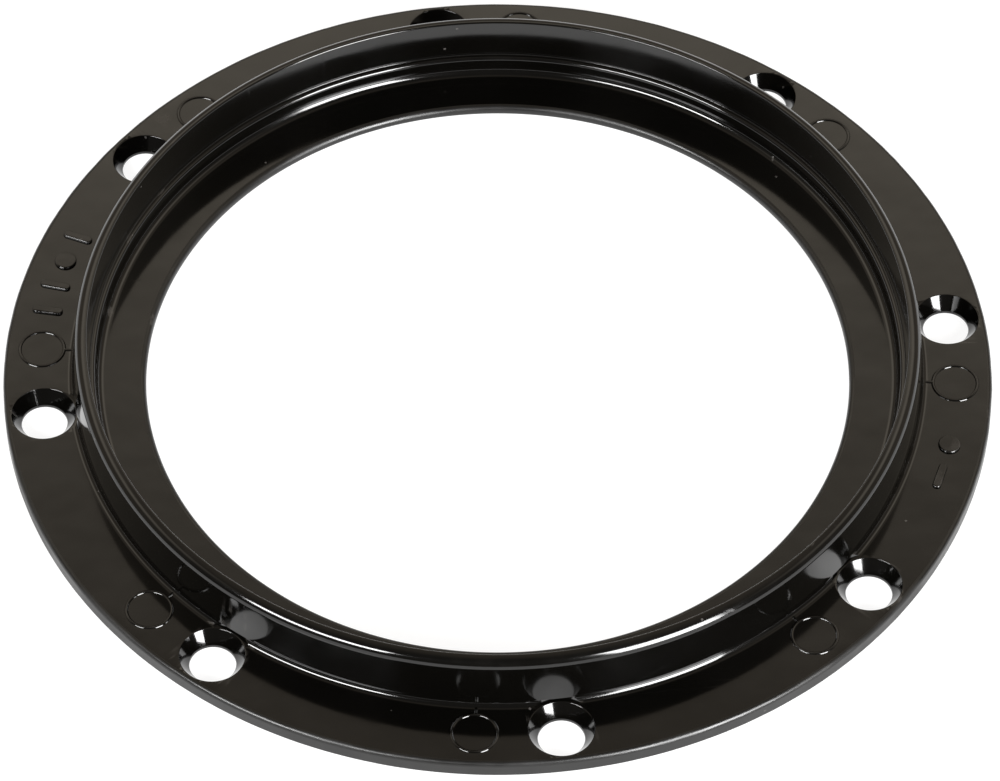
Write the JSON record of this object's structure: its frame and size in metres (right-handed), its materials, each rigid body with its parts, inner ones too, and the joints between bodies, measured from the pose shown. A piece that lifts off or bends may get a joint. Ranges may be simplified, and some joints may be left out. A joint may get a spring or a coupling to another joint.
{
  "type": "toilet flange",
  "caption": "Glossy black moulded toilet flange: a flat screw-down ring with countersunk holes, a low round collar and a stepped recess with a thin ledge round the open bore.",
  "frame": {"origin": "centre of the bore on the flat underside of the flange", "axes": "+Z along the bore axis, out of the collar, away from the floor; +X through the centre of the first screw hole"},
  "size_m": [0.1778, 0.1778, 0.0143],
  "materials": {
    "black_abs": "glossy moulded black ABS, smooth, with faint mould texture"
  },
  "bodies": {
    "root": {"flange_ring": "black_abs"}
  },
  "joints": []
}
